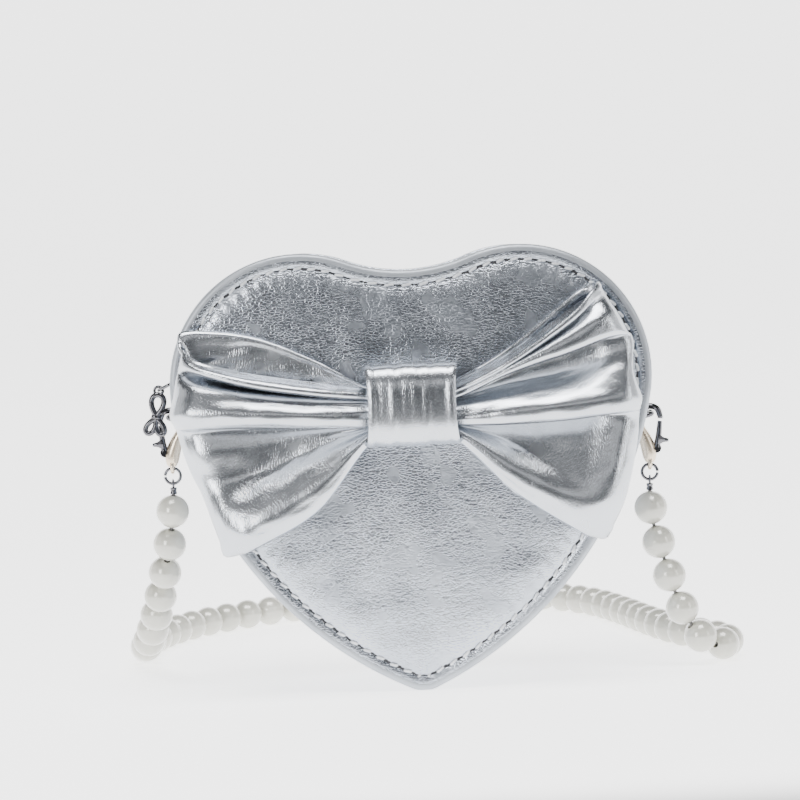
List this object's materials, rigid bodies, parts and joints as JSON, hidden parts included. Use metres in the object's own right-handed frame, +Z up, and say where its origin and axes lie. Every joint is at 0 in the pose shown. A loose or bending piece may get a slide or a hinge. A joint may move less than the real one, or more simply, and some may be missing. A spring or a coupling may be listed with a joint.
{
  "type": "heart shaped purse",
  "caption": "Small heart shaped purse with a padded leather shell, a zip over the top, a folded bow on its front and a clip-on strap of beads.",
  "frame": {"origin": "on the floor under the tip, midway between the front and back faces", "axes": "+Z up, +Y out of the back face, the bow faces -Y"},
  "size_m": [0.1912, 0.2314, 0.1285],
  "materials": {
    "silver_leather": "metallic coated, fine grain",
    "bow_leather": "metallic coated, fine grain, soft",
    "lining_cloth": "plain woven",
    "stiffener": "bonded fibre board",
    "zip_tape": "woven tape",
    "zip_coil": "moulded coil",
    "gunmetal": "dark plated, polished",
    "spring_steel": "drawn wire",
    "pearl": "pearl coated",
    "string": "twisted"
  },
  "bodies": {
    "bag": {"back_panel": "silver_leather", "lower_gusset": "silver_leather", "back_zip_strip": "silver_leather", "left_tab": "silver_leather", "right_tab": "silver_leather", "back_lining": "lining_cloth", "gusset_lining": "lining_cloth", "back_board": "stiffener", "back_zip_tape": "zip_tape", "back_zip_coil": "zip_coil", "left_zip_stop": "gunmetal", "right_zip_stop": "gunmetal", "left_side_ring": "gunmetal", "left_crimp": "gunmetal", "right_side_ring": "gunmetal", "right_crimp": "gunmetal", "pearl_beads": "pearl", "strap_string": "string"},
    "front": {"front_panel": "silver_leather", "front_board": "stiffener", "front_lining": "lining_cloth", "front_zip_strip": "silver_leather", "front_zip_tape": "zip_tape", "front_zip_coil": "zip_coil", "bow_left_loop": "bow_leather", "bow_right_loop": "bow_leather", "bow_knot_band": "bow_leather", "bow_core": "bow_leather", "bow_rivet": "gunmetal"},
    "zip_slider": {"zip_slider": "gunmetal"},
    "zip_pull": {"zip_pull_link": "gunmetal", "zip_pull_bow": "gunmetal"},
    "left_clasp": {"left_clasp_body": "gunmetal", "left_clasp_pin": "gunmetal", "left_clasp_spring": "spring_steel", "left_jump_ring": "gunmetal"},
    "left_trigger": {"left_trigger": "gunmetal"},
    "right_clasp": {"right_clasp_body": "gunmetal", "right_clasp_pin": "gunmetal", "right_clasp_spring": "spring_steel", "right_jump_ring": "gunmetal"},
    "right_trigger": {"right_trigger": "gunmetal"}
  },
  "joints": [
    {"name": "mouth_open", "type": "hinge", "parent": "bag", "child": "front", "pos_m": [0, -0.0226, 0], "axis": [1, 0, 0], "range_deg": [0, 6], "deforming": ["lower_gusset", "gusset_lining", "front_zip_tape", "front_zip_coil"]},
    {"name": "zip_slide", "type": "hinge", "parent": "bag", "child": "zip_slider", "pos_m": [-0.032, 0, 0.0905], "axis": [0, 1, 0], "range_deg": [0, 95]},
    {"name": "zip_pull_swing", "type": "hinge", "parent": "zip_slider", "child": "zip_pull", "pos_m": [-0.06821, 0, 0.09303], "axis": [0, 1, 0], "range_deg": [0, 120]},
    {"name": "left_clasp_swing", "type": "hinge", "parent": "bag", "child": "left_clasp", "pos_m": [-0.0722, 0.0034, 0.0818], "axis": [0, 1, 0], "range_deg": [-10, 30], "deforming": ["left_crimp", "strap_string", "pearl_beads"]},
    {"name": "left_trigger_press", "type": "hinge", "parent": "left_clasp", "child": "left_trigger", "pos_m": [-0.0742, 0.0034, 0.071], "axis": [0, 1, 0], "range_deg": [0, 25], "stiffness_Nm_per_rad": 0.004, "springref_deg": -11.46},
    {"name": "right_clasp_swing", "type": "hinge", "parent": "bag", "child": "right_clasp", "pos_m": [0.07097, 0.0034, 0.07653], "axis": [0, -1, 0], "range_deg": [-10, 30], "deforming": ["right_crimp", "strap_string", "pearl_beads"]},
    {"name": "right_trigger_press", "type": "hinge", "parent": "right_clasp", "child": "right_trigger", "pos_m": [0.07248, 0.0034, 0.06566], "axis": [0, -1, 0], "range_deg": [0, 25], "stiffness_Nm_per_rad": 0.004, "springref_deg": -11.46}
  ]
}
